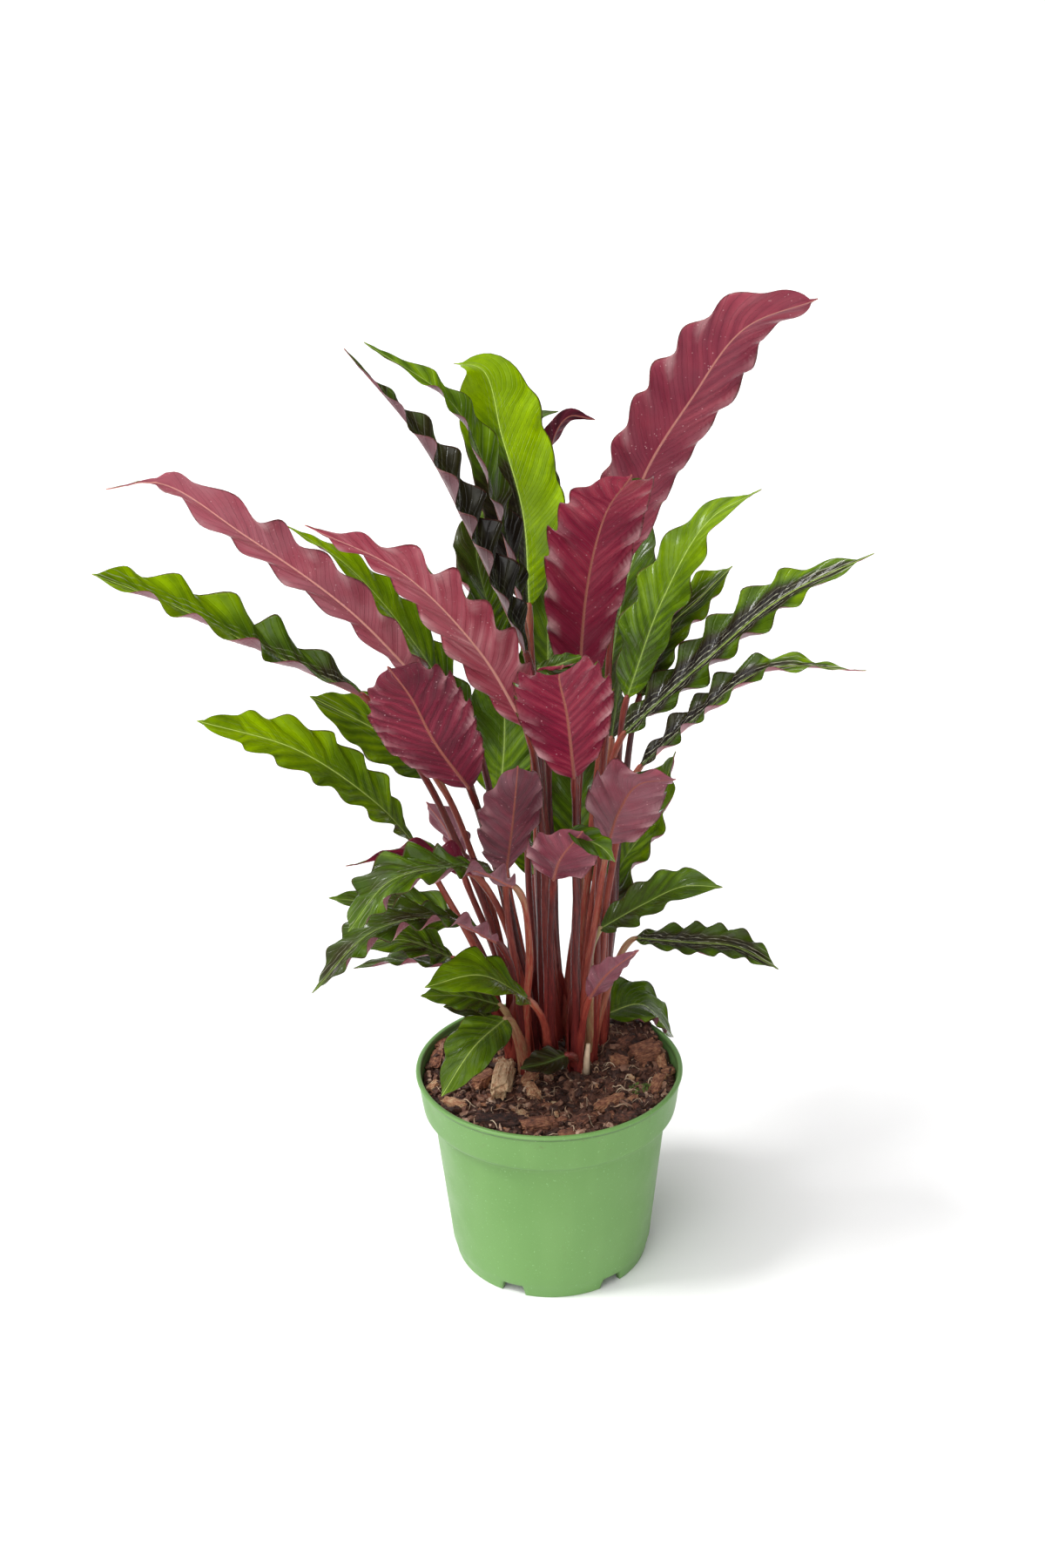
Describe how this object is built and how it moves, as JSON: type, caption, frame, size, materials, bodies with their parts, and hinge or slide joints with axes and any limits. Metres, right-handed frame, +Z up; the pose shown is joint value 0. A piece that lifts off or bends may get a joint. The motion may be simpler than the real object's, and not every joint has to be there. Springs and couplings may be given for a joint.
{
  "type": "potted furry feather calathea",
  "caption": "Bushy prayer plant in a round nursery pot: long lance-shaped leaves with waved edges, green above and maroon beneath, on upright reddish stalks.",
  "frame": {"origin": "centre of the pot's underside, on the surface that the pot stands on", "axes": "+Z up along the stalks, -Y towards the front that the picture shows, +X to the right"},
  "size_m": [0.358, 0.2718, 0.5062],
  "materials": {
    "pot": "smooth satin moulded plastic",
    "soil": "moist peat with bark chips and fibres",
    "stalk": "smooth reddish brown plant skin",
    "leaf_green": "glossy green leaf with a lighter midrib",
    "leaf_maroon": "velvety maroon leaf underside"
  },
  "bodies": {
    "root": {"pot": "pot", "soil": "soil", "shoot_a_stalks": "stalk", "shoot_b_stalks": "stalk", "shoot_c_stalks": "stalk", "shoot_d_stalks": "stalk", "shoot_e_stalks": "stalk", "shoot_g_stalks": "stalk", "shoot_h_stalks": "stalk", "shoot_i_stalks": "stalk", "shoot_j_stalks": "stalk", "shoot_k_stalks": "stalk", "shoot_l_stalks": "stalk", "shoot_m_stalks": "stalk", "shoot_a_blade_1": "leaf_green", "shoot_a_blade_2": "leaf_green", "shoot_a_blade_3": "leaf_green", "shoot_a_blade_4": "leaf_maroon", "shoot_a_blade_5": "leaf_green", "shoot_b_blade_1": "leaf_maroon", "shoot_b_blade_2": "leaf_maroon", "shoot_b_blade_3": "leaf_green", "shoot_c_blade_1": "leaf_maroon", "shoot_c_blade_2": "leaf_maroon", "shoot_c_blade_3": "leaf_maroon", "shoot_c_blade_4": "leaf_maroon", "shoot_c_blade_5": "leaf_green", "shoot_d_blade_1": "leaf_green", "shoot_d_blade_2": "leaf_green", "shoot_d_blade_3": "leaf_green", "shoot_d_blade_4": "leaf_green", "shoot_d_blade_5": "leaf_green", "shoot_e_blade_1": "leaf_maroon", "shoot_e_blade_2": "leaf_maroon", "shoot_e_blade_3": "leaf_maroon", "shoot_h_blade_1": "leaf_green", "shoot_h_blade_2": "leaf_green", "shoot_h_blade_3": "leaf_green", "shoot_h_blade_4": "leaf_maroon", "shoot_i_blade_1": "leaf_green", "shoot_i_blade_2": "leaf_green", "shoot_g_blade_1": "leaf_maroon", "shoot_g_blade_2": "leaf_green", "shoot_g_blade_3": "leaf_green", "shoot_g_blade_4": "leaf_green", "shoot_j_blade_1": "leaf_green", "shoot_j_blade_2": "leaf_green", "shoot_j_blade_3": "leaf_maroon", "shoot_k_blade_1": "leaf_green", "shoot_k_blade_2": "leaf_green", "shoot_k_blade_3": "leaf_green", "shoot_k_blade_4": "leaf_green", "shoot_k_blade_5": "leaf_green", "shoot_l_blade_1": "leaf_green", "shoot_l_blade_2": "leaf_green", "shoot_l_blade_3": "leaf_green", "shoot_m_blade_1": "leaf_green", "shoot_m_blade_2": "leaf_green", "shoot_m_blade_3": "leaf_green", "shoot_m_blade_4": "leaf_green"}
  },
  "joints": []
}
